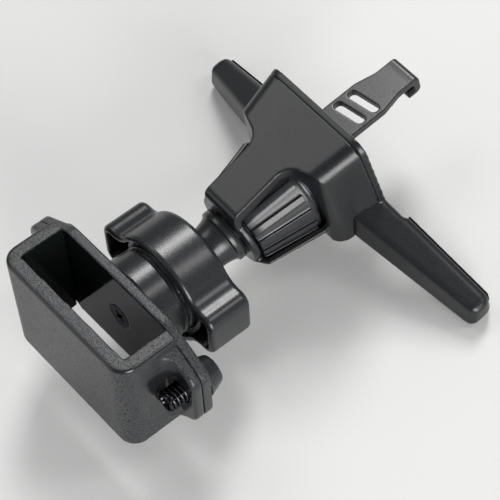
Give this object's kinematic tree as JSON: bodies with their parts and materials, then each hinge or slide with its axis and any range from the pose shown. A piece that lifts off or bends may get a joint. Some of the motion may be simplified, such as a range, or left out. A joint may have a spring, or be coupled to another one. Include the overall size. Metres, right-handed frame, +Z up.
{
  "type": "car microphone holder",
  "caption": "Open sleeve for a microphone's clip on a lockable ball joint, carried by an air vent clip with a hook drawn in by a thumb wheel.",
  "frame": {"origin": "middle of the air vent clip's flat rear face, on the axis of its screw", "axes": "+Y from the sleeve to the hook, into the vent; +X along the clip's arms; +Z up"},
  "size_m": [0.0916, 0.1001, 0.0415],
  "materials": {
    "grained_abs": "moulded ABS with a coarse eroded grain, matt black",
    "satin_nylon": "moulded nylon, satin black",
    "inner_abs": "moulded ABS, smooth satin",
    "black_steel": "steel with a black oxide, oiled",
    "zinc_steel": "turned steel, dark zinc",
    "soft_rubber": "moulded silicone rubber, matt",
    "acetal": "turned acetal, satin black"
  },
  "bodies": {
    "vent_clip": {"hood": "satin_nylon", "arm_frame": "satin_nylon", "arm_pad_left": "soft_rubber", "arm_pad_right": "soft_rubber", "case_screws": "black_steel", "wheel_washer": "zinc_steel"},
    "ball_stem": {"ball_stem": "satin_nylon", "stem_clip": "zinc_steel"},
    "lock_nut": {"lock_nut": "satin_nylon"},
    "sleeve": {"sleeve_shell": "grained_abs", "back_plate": "grained_abs", "ear_screws": "black_steel", "ear_nuts": "black_steel", "centre_screw": "black_steel", "socket": "satin_nylon"},
    "thumb_wheel": {"thumb_wheel": "acetal"},
    "hook": {"hook_strap": "satin_nylon", "lead_screw": "zinc_steel", "screw_pin": "zinc_steel", "hook_tip_pad": "soft_rubber"}
  },
  "joints": [
    {"name": "stem_swivel", "type": "hinge", "parent": "vent_clip", "child": "ball_stem", "pos_m": [0, -0.0449, 0], "axis": [0, 1, 0], "continuous": true},
    {"name": "ball_tilt", "type": "hinge", "parent": "ball_stem", "child": "lock_nut", "pos_m": [0, -0.0449, 0], "axis": [1, 0, 0], "range_deg": [-5, 32]},
    {"name": "socket_spin", "type": "hinge", "parent": "lock_nut", "child": "sleeve", "pos_m": [0, -0.0449, 0], "axis": [-0.0372, 0.9696, -0.2419], "continuous": true},
    {"name": "wheel_turn", "type": "hinge", "parent": "vent_clip", "child": "thumb_wheel", "pos_m": [0, -0.02, 0], "axis": [0, 1, 0], "range_deg": [-360, 2340]},
    {"name": "hook_slide", "type": "slide", "parent": "vent_clip", "child": "hook", "axis": [0, 1, 0], "range_m": [-0.013, 0.002]}
  ],
  "couplings": [
    {"joint": "hook_slide", "follows": "wheel_turn", "m_per_rad": -0.00031831}
  ]
}
